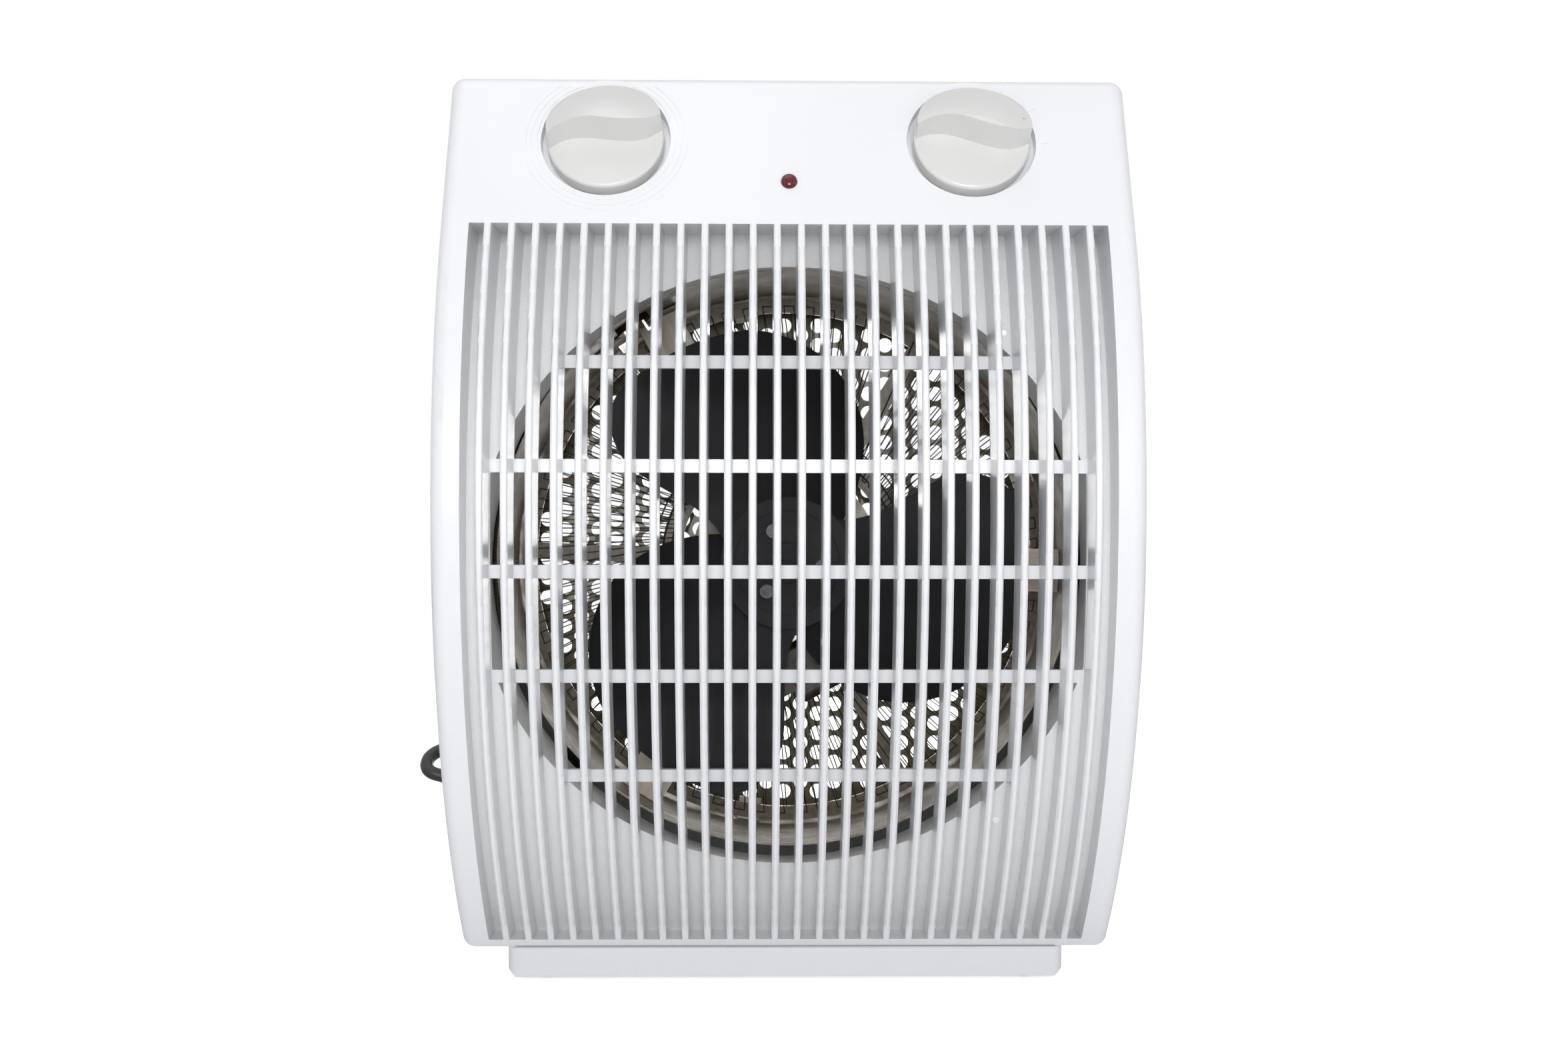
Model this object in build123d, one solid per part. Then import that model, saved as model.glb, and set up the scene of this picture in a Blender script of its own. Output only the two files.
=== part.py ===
from build123d import *
import os
from math import asin, cos, degrees, pi, radians, sin, sqrt, tan

os.makedirs("parts", exist_ok=True)

# Upright fan convector heater. Millimetres, +Z up, front towards -Y.
# Origin: middle of the casing in X and Y, on the surface the feet stand on.
# A "depth" is measured backwards from the foremost point of the front.

# ---- driving dimensions: casing ----
body_width = 220.6
body_height = 301.0
body_depth = 124.0
wall = 2.2
side_round = 4.5
top_rear_round = 24.0
top_front_round = 4.0
top_fall = 5.0
casing_bottom = 10.8
front_radius = 225.0
front_apex_z = 165.0
seam_depth = 84.0
seam_gap = 0.5
lip_length = 5.0
lip_clearance = 0.25
lip_thickness = 1.4

# ---- grille ----
grille_top = 249.6
grille_bottom = 13.7
grille_half_width = 100.8
floor_radius = 196.0
floor_center_z = 155.0
floor_depth = 12.5
floor_thickness = 2.0
rib_pitch = 7.6
rib_count = 26
rib_front_width = 2.3
rib_base_width = 3.1
rib_round = 0.8
bar_height = 4.2
bar_top_z = 206.3
bar_pitch = 33.15
bar_count = 5
bar_thickness = 3.0
outlet_z = 140.0
outlet_radius = 98.3
collar_wall = 1.7
pin_mark_radius = 1.1

# ---- duct, fan and motor ----
duct_z = 142.0
duct_radius = 96.2
sheet = 0.8
duct_front_depth = 50.0
duct_slope = 0.12
collar_gap = 1.5
duct_back_depth = 115.5
window_angle = 123.0
window_width = 40.0
window_front = 45.0
window_back = 70.0
fan_radius = 80.0
fan_depth = 54.0
blade_thickness = 1.6
blade_pitch = 15.0
blade_camber_radius = 150.0
blade_count = 3
blade_angle = 112.0
hub_radius = 22.0
hub_length = 17.0
shaft_radius = 3.0
running_clearance = 0.04
spider_depth = 75.0
spider_thickness = 1.5
spider_arm_width = 15.0
motor_turn = 28.0
stack_thickness = 16.0
stack_width = 56.0
stack_height = 36.0
rotor_radius = 13.0
air_gap = 0.4
coil_height = 24.0
coil_width = 34.0
leg_height = 11.0
bracket_rise = 9.0
bearing_radius = 5.0
heater_depth = 100.0
mica_thickness = 1.2
mica_inner_radius = 38.0
mica_band = 7.0
mica_outer_radius = 95.0
wire_size = 0.8
wire_folds = 54

# ---- drum brackets ----
bracket_angles = (38.0, 142.0, 236.0, 308.0)
bracket_width = 12.0
bracket_reach = 12.0
bracket_screw_circle = 104.6
bracket_boss_radius = 3.5
bracket_back = 118.0

# ---- inlet guard and rear ----
guard_radius = 97.0
guard_sheet = 1.0
guard_field_radius = 90.0
guard_hole_radius = 2.7
guard_pitch = 7.3
inlet_radius = 92.5
guard_screw_circle = 94.8
post_x = 98.5
post_low_z = 27.0
post_high_z = 272.0
post_radius = 4.2
screw_radius = 1.5
screw_hole_radius = 1.9
screw_head_radius = 3.0
well_radius = 4.4

# ---- controls ----
knob_x = 58.9
knob_z = 278.6
knob_radius = 18.8
knob_gap = 2.1
knob_proud = 2.0
knob_skirt = 3.0
well_depth = 4.2
dial_ring_count = 3
dial_ring_pitch = 1.8
dial_relief = 0.25
grip_height = 12.2
grip_drop = 1.4
grip_sway = 2.4
crown_radius = 44.9
crown_shift = 12.9
thermostat_grip = 12.0
thermostat_pointer = 167.0
selector_grip = -2.0
selector_pointer = 4.5
dimple_circle = 16.3
nut_across_flats = 12.0
nut_thickness = 1.6
control_shaft_radius = 3.0
control_bush_radius = 5.0
control_body_side = 30.0
control_body_depth = 20.0
lamp_z = 264.2
lens_radius = 2.55
lens_clearance = 0.1

# ---- plinth, feet, cord ----
plinth_half_width = 94.4
plinth_front = 58.5
plinth_back = 118.0
plinth_chamfer = 2.7
foot_radius = 7.0
foot_height = 2.4
foot_proud = 1.0
plinth_screw_places = [(-45.0, 92.0), (45.0, 92.0)]
cord_radius = 2.7
cord_exit_x = -78.0
cord_exit_z = 66.0
gland_length = 26.0
gland_hole_radius = 6.0
coil_mean_radius = 30.0
coil_layers = 4
cord_rise = 0.8
coil_x = -28.0
coil_y = 102.0
plug_x = 62.0
plug_radius = 17.5
plug_length = 38.0
pin_radius = 2.4
pin_length = 19.0
pin_spacing = 19.0

# ---- what follows from them ----
half_width = body_width / 2
lean = asin((grille_top - front_apex_z) / front_radius)
grille_top_depth = front_radius - sqrt(front_radius**2 - (grille_top - front_apex_z)**2)
casing_bottom_depth = front_radius - sqrt(front_radius**2 - (front_apex_z - casing_bottom)**2)
rear_end = body_depth
knob_well_radius = knob_radius + knob_gap


def depth_y(depth):
    """Y of a place that lies this far behind the foremost point."""
    return depth - body_depth / 2


def rod(radius, front, back, x=0.0, z=0.0):
    """Round bar that runs front to back, from one depth to another."""
    bar = Rot(90, 0, 0) * Cylinder(radius, back - front)
    return Pos(x, depth_y((front + back) / 2), z) * bar


def cone_rod(front_end, back_end, front, back, x=0.0, z=0.0):
    """Tapered round bar along the depth, given the radius at each end."""
    bar = Rot(90, 0, 0) * Cone(back_end, front_end, back - front)
    return Pos(x, depth_y((front + back) / 2), z) * bar


def block(x_range, depth_range, z_range):
    """Straight block between two X, two depths and two heights."""
    size_x = x_range[1] - x_range[0]
    size_y = depth_range[1] - depth_range[0]
    size_z = z_range[1] - z_range[0]
    middle = (sum(x_range) / 2, depth_y(sum(depth_range) / 2), sum(z_range) / 2)
    return Pos(*middle) * Box(size_x, size_y, size_z)


def tube(outer, inner, front, back, x=0.0, z=0.0):
    """Round sleeve along the depth."""
    return rod(outer, front, back, x, z) - rod(inner, front - 1, back + 1, x, z)


def around(z_center, radius, angle):
    """X and Z of a point on a circle seen from the front, angle from +X, anticlockwise."""
    return radius * cos(radians(angle)), z_center + radius * sin(radians(angle))


def along_x_cylinder(radius, depth, z):
    """Large cylinder that lies along X, for the curved surfaces of the front."""
    return Pos(0, depth_y(depth), z) * Rot(0, 90, 0) * Cylinder(radius, body_width + 20)


def turned(shape, angle):
    """Shape swung round the duct's axis, anticlockwise seen from the front."""
    return Pos(0, 0, duct_z) * Rot(0, -angle, 0) * Pos(0, 0, -duct_z) * shape


def panel_depth(z):
    """Depth of the leaning control panel's face at a height."""
    return grille_top_depth + (z - grille_top) * tan(lean)


def on_panel(x, z):
    """Frame on the control panel's face, its Z pointing straight out of the face."""
    face_plane = Plane(
        origin=(x, depth_y(panel_depth(z)), z),
        x_dir=(1, 0, 0),
        z_dir=(0, -cos(lean), sin(lean)),
    )
    return face_plane.location


def write(name, shape):
    """One STEP file per piece or per group of like pieces."""
    if isinstance(shape, (list, tuple, ShapeList)):
        shape = Compound(children=list(shape))
    shape.label = name
    export_step(shape, f"parts/{name}.step")
    print(f"{name}: {len(shape.solids())} solid(s), {shape.volume:.0f} mm3")


# ---- casing envelope ----
def side_outline(inset):
    """Casing seen from the side: curved front, leaning panel, rounded back."""
    front_low = (depth_y(casing_bottom_depth), casing_bottom)
    front_high = (depth_y(grille_top_depth), grille_top)
    top_front = (depth_y(panel_depth(body_height)), body_height)
    top_rear = (depth_y(body_depth), body_height - top_fall)
    rear_low = (depth_y(body_depth), casing_bottom)
    curve = ThreePointArc(front_low, (depth_y(0), front_apex_z), front_high)
    rest = Polyline(front_high, top_front, top_rear, rear_low, front_low)
    outline = make_face(Plane.YZ * (curve + rest))
    corners = outline.vertices()
    rear_corner = corners.sort_by_distance((0, top_rear[0], top_rear[1]))[0]
    outline = fillet([rear_corner], top_rear_round)
    front_corner = outline.vertices().sort_by_distance((0, top_front[0], top_front[1]))[0]
    outline = fillet([front_corner], top_front_round)
    if inset > 0:
        outline = offset(outline, amount=-inset)
    return outline


def envelope(inset=0.0):
    """Solid outer form of the casing, inset evenly from its skin."""
    solid = extrude(side_outline(inset), amount=half_width - inset, both=True)
    rim = solid.faces().filter_by(Axis.X).edges()
    return fillet(rim, side_round - inset)


def depth_slab(front, back):
    """Everything between two depths."""
    return block((-half_width - 20, half_width + 20), (front, back), (-20, body_height + 20))


outer_form = envelope()
inner_form = envelope(wall)
shell = outer_form - inner_form

# ---- front housing ----
floor_face = along_x_cylinder(floor_radius, floor_depth + floor_radius, floor_center_z)
floor_back = along_x_cylinder(
    floor_radius - floor_thickness, floor_depth + floor_radius, floor_center_z
)
recess_outside = block(
    (-grille_half_width - wall, grille_half_width + wall),
    (-10, seam_depth),
    (grille_bottom - wall, grille_top + wall),
)
recess_inside = block(
    (-grille_half_width, grille_half_width), (-12, seam_depth + 2), (grille_bottom, grille_top)
)
recess_walls = (outer_form & recess_outside) - floor_back
recess_space = recess_inside - floor_face
front_housing = (shell & depth_slab(-5, seam_depth - seam_gap / 2)) + recess_walls - recess_space

# The outlet is round, cut off straight behind the outermost ribs.
outlet_half_width = rib_pitch * (rib_count - 1) / 2 - rib_base_width / 2
outlet = rod(outlet_radius, -5, seam_depth, z=outlet_z) & block(
    (-outlet_half_width, outlet_half_width), (-5, seam_depth), (0, body_height)
)
front_housing -= outlet


def duct_mouth(clearance):
    """Everything in front of the duct's slanting mouth, less a clearance."""
    low_z, high_z = -60.0, body_height + 60.0
    low_depth = duct_front_depth + duct_slope * (duct_z - low_z) - clearance
    high_depth = duct_front_depth + duct_slope * (duct_z - high_z) - clearance
    points = [
        (depth_y(-20), low_z),
        (depth_y(low_depth), low_z),
        (depth_y(high_depth), high_z),
        (depth_y(-20), high_z),
    ]
    side = make_face(Plane.YZ * Polyline(*points, close=True))
    return extrude(side, amount=half_width + 10, both=True)


collar = tube(outlet_radius + collar_wall, outlet_radius, 5, seam_depth, z=outlet_z)
collar = (collar & duct_mouth(collar_gap)) & floor_back
front_housing += collar

# Ribs: one section turned about the front's centre of curvature, copied across.
rib_back = front_radius - 26.0
rib_axis = Axis((0, depth_y(front_radius), front_apex_z), (1, 0, 0))
rib_front_half = rib_front_width / 2
rib_points = [
    (-rib_base_width / 2, depth_y(front_radius - rib_back)),
    (rib_base_width / 2, depth_y(front_radius - rib_back)),
    (rib_front_half, depth_y(0)),
    (-rib_front_half, depth_y(0)),
]
rib_section = make_face(Polyline(*rib_points, close=True))
rib_nose = rib_section.vertices().sort_by(Axis.Y)[0:2]
rib_section = fillet(rib_nose, rib_round)
rib_section = Pos(0, 0, front_apex_z) * rib_section
rib_up = degrees(lean) + 3
rib_down = degrees(asin((front_apex_z - grille_bottom) / front_radius)) + 3
rib = revolve(rib_section.rotate(rib_axis, -rib_up), axis=rib_axis, revolution_arc=rib_up + rib_down)
rib_space = block(
    (-grille_half_width, grille_half_width),
    (-5, seam_depth),
    (grille_bottom - wall / 2, grille_top + wall / 2),
)
rib_cutter = along_x_cylinder(floor_radius - 1.0, floor_depth + floor_radius, floor_center_z)
rib = (rib & rib_space) - rib_cutter
rib_start = -rib_pitch * (rib_count - 1) / 2
ribs = [Pos(rib_start + number * rib_pitch, 0, 0) * rib for number in range(rib_count)]

# Cross bars lie at the recess floor, behind the ribs.
bar_front = along_x_cylinder(floor_radius + 0.4, floor_depth + floor_radius, floor_center_z)
bar_back = along_x_cylinder(
    floor_radius + 0.4 - bar_thickness, floor_depth + floor_radius, floor_center_z
)
bar_shell = bar_front - bar_back
bars = []
for number in range(bar_count):
    bar_z = bar_top_z - number * bar_pitch
    reach = sqrt(outlet_radius**2 - (bar_z - outlet_z)**2)
    bar_reach = min(reach, outlet_half_width) + 1.5
    bar_block = block(
        (-bar_reach, bar_reach), (-5, seam_depth), (bar_z - bar_height / 2, bar_z + bar_height / 2)
    )
    bars.append(bar_shell & bar_block)
front_housing = front_housing + ribs + bars

# Ejector pin marks on the recess floor.
for mark_x in (-9.5 * rib_pitch, 9.0 * rib_pitch):
    for mark_z in (216.0, 58.0):
        mark_depth = floor_depth + floor_radius
        mark_depth -= sqrt(floor_radius**2 - (mark_z - floor_center_z)**2)
        front_housing += rod(pin_mark_radius, mark_depth - 0.4, mark_depth + 1, mark_x, mark_z)

# Control panel: knob wells, bush holes, dial rings, lamp hole.
for side in (-1, 1):
    place = on_panel(side * knob_x, knob_z)
    well = place * Pos(0, 0, -(well_depth + wall) / 2 - 0.1)
    front_housing += well * Cylinder(knob_well_radius + wall, well_depth + wall)
for side in (-1, 1):
    place = on_panel(side * knob_x, knob_z)
    front_housing -= place * Pos(0, 0, 10 - well_depth / 2) * Cylinder(knob_well_radius, well_depth + 20)
    front_housing -= place * Cylinder(control_bush_radius + 0.1, 40)
# The thermostat has fine rings round its well, which run out at the panel's top edge.
dial_place = on_panel(-knob_x, knob_z)
dial_top = 20.5
for ring_number in range(dial_ring_count):
    ring_radius = knob_well_radius + 1.5 + ring_number * dial_ring_pitch
    ring = Cylinder(ring_radius + 0.4, 2 * dial_relief) - Cylinder(ring_radius - 0.4, 1)
    ring -= Pos(0, dial_top + 20, 0) * Box(80, 40, 2)
    front_housing += dial_place * ring
# The selector has plain raised strokes: one, one and two.
mark_place = on_panel(knob_x, knob_z)
for mark_angle, mark_count in ((62.0, 1), (32.0, 1), (-3.0, 2)):
    for copy in range(mark_count):
        spread = (copy - (mark_count - 1) / 2) * 1.8
        mark = Pos(knob_well_radius + 2.6, spread, 0) * Box(3.2, 0.7, 2 * dial_relief)
        front_housing += mark_place * Rot(0, 0, mark_angle) * mark
lamp_place = on_panel(0, lamp_z)
front_housing -= lamp_place * Cylinder(lens_radius + lens_clearance, 12)

# Posts that take the long casing screws.
for side in (-1, 1):
    for post_z in (post_low_z, post_high_z):
        x = side * post_x
        post = rod(post_radius, 20, seam_depth, x, post_z) & inner_form
        post -= rod(screw_radius - 0.1, seam_depth - 12, seam_depth + 1, x, post_z)
        post -= recess_inside
        front_housing += post
write("front_housing", front_housing)

# ---- rear housing ----
rear_housing = shell & depth_slab(seam_depth + seam_gap / 2, body_depth + 5)
lip_outer = envelope(wall + lip_clearance)
lip_inner = envelope(wall + lip_clearance + lip_thickness)
lip_root_outer = envelope(wall - 0.2)
lip = (lip_outer - lip_inner) & depth_slab(seam_depth - lip_length, seam_depth + 3)
lip_root = (lip_root_outer - lip_inner) & depth_slab(seam_depth + seam_gap, seam_depth + 3)
post_room = [
    rod(post_radius + 0.6, 0, seam_depth + seam_gap / 2, side * post_x, post_z)
    for side in (-1, 1)
    for post_z in (post_low_z, post_high_z)
]
floor_room = along_x_cylinder(
    floor_radius - floor_thickness - 0.6, floor_depth + floor_radius, floor_center_z
)
front_of_floor = depth_slab(-5, seam_depth) - floor_room
rear_housing += (lip - front_of_floor - post_room) + lip_root
rear_inner = rear_end - wall
rear_housing -= rod(inlet_radius, rear_inner - 10, rear_end + 5, z=duct_z)
guard_seat = tube(guard_radius + 2.0, inlet_radius, rear_inner - 1.5, rear_inner + 0.5, z=duct_z)
rear_housing += guard_seat
for number in range(4):
    seat_x, seat_z = around(duct_z, guard_screw_circle, 45 + 90 * number)
    rear_housing -= rod(screw_radius, rear_inner - 5, rear_end + 5, seat_x, seat_z)
for side in (-1, 1):
    for post_z in (post_low_z, post_high_z):
        x = side * post_x
        sleeve = rod(well_radius + 1.6, seam_depth + seam_gap / 2, rear_end - 0.5, x, post_z)
        rear_housing += sleeve & outer_form
        rear_housing -= rod(well_radius, seam_depth + 6, rear_end + 5, x, post_z)
        rear_housing -= rod(screw_hole_radius, seam_depth - 5, rear_end + 5, x, post_z)
for angle in bracket_angles:
    boss_x, boss_z = around(duct_z, bracket_screw_circle, angle)
    rear_housing += rod(bracket_boss_radius, bracket_back, rear_inner + 0.3, boss_x, boss_z)
    rear_housing -= rod(screw_radius - 0.1, bracket_back - 1, rear_inner - 0.2, boss_x, boss_z)
for x, depth in plinth_screw_places:
    boss_height = wall + 4.0
    boss = Pos(x, depth_y(depth), casing_bottom + boss_height / 2) * Cylinder(4.0, boss_height)
    bore = Pos(x, depth_y(depth), casing_bottom) * Cylinder(screw_radius - 0.1, 2 * boss_height + 2)
    rear_housing = rear_housing + boss - bore
rear_housing -= rod(gland_hole_radius, rear_inner - 20, rear_end + 5, cord_exit_x, cord_exit_z)
label_recess = block((28, 88), (rear_end - 0.4, rear_end + 5), (18, 36))
rear_housing -= label_recess
write("rear_housing", rear_housing)

# Long screws that hold both halves of the casing together.
casing_screws = []
for side in (-1, 1):
    for post_z in (post_low_z, post_high_z):
        x = side * post_x
        head_depth = seam_depth + 6
        head = rod(screw_head_radius, head_depth, head_depth + 2.2, x, post_z)
        head -= block((x - 2.2, x + 2.2), (head_depth + 1.2, head_depth + 3), (post_z - 0.4, post_z + 0.4))
        head -= block((x - 0.4, x + 0.4), (head_depth + 1.2, head_depth + 3), (post_z - 2.2, post_z + 2.2))
        shank = rod(screw_radius - 0.1, seam_depth - 10, head_depth, x, post_z)
        casing_screws.append(head + shank)
write("casing_screws", casing_screws)

# ---- inlet guard: perforated sheet disc ----
guard_front = rear_inner - 1.5 - guard_sheet
column_step = guard_pitch * cos(radians(30))
holes = []
columns = int(guard_field_radius / column_step)
rows = int(guard_field_radius / guard_pitch) + 1
for column in range(-columns, columns + 1):
    shift = guard_pitch / 2 if column % 2 else 0.0
    for row in range(-rows, rows + 1):
        hole_x = column * column_step
        hole_z = row * guard_pitch + shift
        if hole_x**2 + hole_z**2 < guard_field_radius**2:
            holes.append((hole_x, hole_z))
guard_rim = Wire.make_circle(guard_radius)
hole_wires = [Wire.make_circle(guard_hole_radius, Plane((x, z, 0))) for x, z in holes]
for number in range(4):
    screw_x, screw_z = around(0, guard_screw_circle, 45 + 90 * number)
    hole_wires.append(Wire.make_circle(screw_radius + 0.2, Plane((screw_x, screw_z, 0))))
guard_face = Face(guard_rim, hole_wires)
guard = extrude(guard_face, amount=guard_sheet)
guard = Pos(0, depth_y(guard_front + guard_sheet), duct_z) * Rot(90, 0, 0) * guard
write("inlet_guard", guard)

guard_screws = []
for number in range(4):
    screw_x, screw_z = around(duct_z, guard_screw_circle, 45 + 90 * number)
    head = rod(2.4, guard_front - 1.4, guard_front, screw_x, screw_z)
    shank = rod(screw_radius - 0.1, guard_front, rear_inner + 1.0, screw_x, screw_z)
    guard_screws.append(head + shank)
write("guard_screws", guard_screws)

# ---- duct drum: rolled galvanised sheet ----
duct = tube(duct_radius + sheet, duct_radius, 5, duct_back_depth, z=duct_z) - duct_mouth(0)
window_place = Pos(0, 0, duct_z) * Rot(0, -window_angle, 0)
window = window_place * Pos(duct_radius, depth_y((window_front + window_back) / 2), 0)
duct -= window * Box(24, window_back - window_front, window_width)
duct_screw_depth = duct_back_depth - 5.0
for angle in bracket_angles:
    turn = Pos(0, 0, duct_z) * Rot(0, -angle, 0)
    hole = turn * Pos(duct_radius, depth_y(duct_screw_depth), 0) * Rot(0, 90, 0)
    duct -= hole * Cylinder(screw_radius + 0.1, 12)
spider_angles = (118.0, -2.0, -122.0)
for angle in spider_angles:
    turn = Pos(0, 0, duct_z) * Rot(0, -angle, 0)
    hole = turn * Pos(duct_radius, depth_y(spider_depth + 6), 0) * Rot(0, 90, 0)
    duct -= hole * Cylinder(screw_radius + 0.1, 12)
write("duct_drum", duct)

# Angle brackets that stand the drum on bosses of the rear housing.
outside = duct_radius + sheet
brackets = []
drum_screws = []
bracket_screws = []
leg_front = duct_back_depth - 10
for angle in bracket_angles:
    turn = Pos(0, 0, duct_z) * Rot(0, -angle, 0)
    leg = Pos(outside + 0.3 + sheet / 2, depth_y((leg_front + bracket_back) / 2), 0)
    leg = leg * Box(sheet, bracket_back - leg_front, bracket_width)
    foot = Pos(outside + 0.3 + bracket_reach / 2, depth_y(bracket_back - sheet / 2), 0)
    foot = foot * Box(bracket_reach, sheet, bracket_width)
    side_hole = turn * Pos(outside, depth_y(duct_screw_depth), 0) * Rot(0, 90, 0)
    foot_x, foot_z = around(duct_z, bracket_screw_circle, angle)
    bracket = turn * (leg + foot) - side_hole * Cylinder(screw_radius + 0.1, 12)
    brackets.append(bracket - rod(screw_radius + 0.1, leg_front, bracket_back + 1, foot_x, foot_z))
    head = Pos(outside + 0.3 + sheet + 0.9, depth_y(duct_screw_depth), 0) * Rot(0, 90, 0)
    shank = Pos(outside - 0.6, depth_y(duct_screw_depth), 0) * Rot(0, 90, 0)
    drum_screws.append(turn * (head * Cylinder(2.4, 1.8) + shank * Cylinder(screw_radius, 3.6)))
    foot_front = bracket_back - sheet
    screw = rod(2.6, foot_front - 1.8, foot_front, foot_x, foot_z)
    bracket_screws.append(screw + rod(screw_radius - 0.1, foot_front, rear_inner - 0.4, foot_x, foot_z))
write("drum_brackets", brackets)
write("drum_screws", drum_screws)
write("bracket_screws", bracket_screws)

# ---- fan rotor ----
def polar(radius, angle):
    """Point on the fan's face, seen from the front."""
    return (radius * cos(radians(angle)), radius * sin(radians(angle)))


lead_side = [polar(20, 58), polar(45, 37), polar(66, 35), polar(76, 29), polar(fan_radius, 20)]
tail_side = [polar(fan_radius, -12), polar(77, -22), polar(69, -36), polar(58, -48), polar(40, -62)]
tail_side.append(polar(18, -82))
blade_edge = Spline(*lead_side)
blade_rim = ThreePointArc(lead_side[-1], polar(fan_radius, 4), tail_side[0])
blade_tail = Spline(*tail_side)
blade_root = Line(tail_side[-1], lead_side[0])
blade_outline = make_face(blade_edge + blade_rim + blade_tail + blade_root)
fan_front = fan_depth - hub_length / 2
fan_back = fan_depth + hub_length / 2
blade_prism = extrude(blade_outline, amount=30, both=True)
blade_prism = Pos(0, depth_y(fan_depth), duct_z) * Rot(90, 0, 0) * blade_prism
camber = Cylinder(blade_camber_radius + blade_thickness / 2, 120)
camber -= Cylinder(blade_camber_radius - blade_thickness / 2, 130)
camber = Pos(60, 0, 0) * Rot(0, 90, 0) * camber
camber = Rot(blade_pitch, 0, 0) * Pos(0, blade_camber_radius - 2.0, 0) * camber
blade = blade_prism & (Pos(0, depth_y(fan_depth), duct_z) * camber)
blade = blade.solids().sort_by(Axis.Y)[0]
hub = rod(hub_radius, fan_front, fan_back, z=duct_z)
hub = hub - rod(hub_radius - 2.0, fan_front + 3.0, fan_back + 1, z=duct_z)
hub = hub - tube(17.6, 14.2, fan_front - 1, fan_front + 1.0, z=duct_z)
hub = hub - rod(7.0, fan_front - 1, fan_front + 1.5, z=duct_z)
hub = hub + rod(3.6, fan_front + 0.6, fan_front + 2.0, z=duct_z)
flange_radius = 15.0
flange_front = fan_front + 3.0
hub_screw_circle = 11.6
hub_screw_angles = (114.0, -6.0, 234.0)
rotor = hub
for number in range(blade_count):
    angle = blade_angle + number * 360 / blade_count
    placed = turned(blade, angle)
    rotor += placed - rod(hub_radius - 1.0, 0, body_depth, z=duct_z)
for angle in hub_screw_angles:
    x, z = around(duct_z, hub_screw_circle, angle)
    rotor -= rod(screw_radius, fan_front - 1, fan_front + 10, x, z)
write("fan_rotor", rotor)

hub_screws = []
for angle in hub_screw_angles:
    x, z = around(duct_z, hub_screw_circle, angle)
    head = rod(2.3, fan_front - 1.5, fan_front, x, z)
    head -= block((x - 1.8, x + 1.8), (fan_front - 2, fan_front - 0.8), (z - 0.35, z + 0.35))
    shank = rod(screw_radius - 0.1, fan_front, flange_front + 2.0, x, z)
    hub_screws.append(head + shank)
write("fan_hub_screws", hub_screws)

flange = rod(flange_radius, flange_front, flange_front + 3.0, z=duct_z)
flange += rod(7.0, flange_front + 3.0, fan_back - 1, z=duct_z)
flange -= rod(shaft_radius, flange_front - 1, fan_back + 1, z=duct_z)
for angle in hub_screw_angles:
    x, z = around(duct_z, hub_screw_circle, angle)
    flange -= rod(screw_radius, flange_front - 1, flange_front + 4, x, z)
write("drive_flange", flange)

# ---- motor: shaded pole, held by a three-armed spider ----
stack_front = spider_depth + spider_thickness
stack_back = stack_front + stack_thickness
shaft_front = flange_front
shaft_back = stack_back + bracket_rise + 4
write("motor_shaft", rod(shaft_radius, shaft_front, shaft_back, z=duct_z))
cage = rod(rotor_radius, stack_front + 0.8, stack_back + 1.5, z=duct_z)
write("motor_rotor", cage - rod(shaft_radius, stack_front - 5, stack_back + 5, z=duct_z))

stack_top = duct_z + stack_height / 2
leg_bottom = duct_z - stack_height / 2 - coil_height
stack = block((-stack_width / 2, stack_width / 2), (stack_front, stack_back), (leg_bottom, stack_top))
core_width = 10.0
window_half = stack_width / 2 - core_width
stack -= block(
    (-window_half, window_half),
    (stack_front - 1, stack_back + 1),
    (leg_bottom + leg_height, duct_z - stack_height / 2),
)
stack -= rod(rotor_radius + air_gap, stack_front - 1, stack_back + 1, z=duct_z)
bolt_x = stack_width / 2 - 5
bolt_z = duct_z + stack_height / 2 - 5
bolt_low = duct_z - stack_height / 2 + 5
bolt_places = [(-bolt_x, bolt_z), (bolt_x, bolt_z), (-bolt_x, bolt_low), (bolt_x, bolt_low)]
for x, z in bolt_places:
    stack -= rod(screw_radius + 0.1, stack_front - 1, stack_back + 1, x, z)
write("motor_stator", turned(stack, motor_turn))

coil_bottom = leg_bottom - 5.0
coil_top = leg_bottom + leg_height + 5.0
winding_rise = 4.0
coil = block(
    (-coil_width / 2, coil_width / 2),
    (stack_front - winding_rise, stack_back + winding_rise),
    (coil_bottom, coil_top),
)
coil = fillet(coil.edges().filter_by(Axis.X), 3.0)
coil -= block(
    (-coil_width / 2 - 1, coil_width / 2 + 1),
    (stack_front, stack_back),
    (leg_bottom, leg_bottom + leg_height),
)
write("motor_coil", turned(coil, motor_turn))


def end_bracket(face_depth, out):
    """Pressed bridge over one face of the stack; it holds a bearing."""
    far = face_depth + out * bracket_rise
    front, back = sorted((face_depth, face_depth + out * spider_thickness))
    width = stack_width / 2
    pads = []
    for sign in (-1, 1):
        x_range = sorted((sign * (width - 11), sign * width))
        pads.append(block(x_range, (front, back), (bolt_low - 5, bolt_z + 5)))
        leg_x = sorted((sign * (width - 11), sign * (width - 11 - spider_thickness)))
        low, high = sorted((face_depth, far))
        pads.append(block(leg_x, (low, high), (duct_z - 9, duct_z + 9)))
    low, high = sorted((far - out * spider_thickness, far))
    bridge = block((-(width - 11), width - 11), (low, high), (duct_z - 9, duct_z + 9))
    bracket = bridge + pads
    bracket -= rod(bearing_radius, low - 3, high + 3, z=duct_z)
    for x, z in bolt_places:
        bracket -= rod(screw_radius + 0.1, front - 3, back + 3, x, z)
    return bracket


def bearing(depth):
    """Sintered bush, pressed into an end bracket."""
    bush = tube(bearing_radius, shaft_radius + running_clearance, depth - 3, depth + 3, z=duct_z)
    return bush


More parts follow.
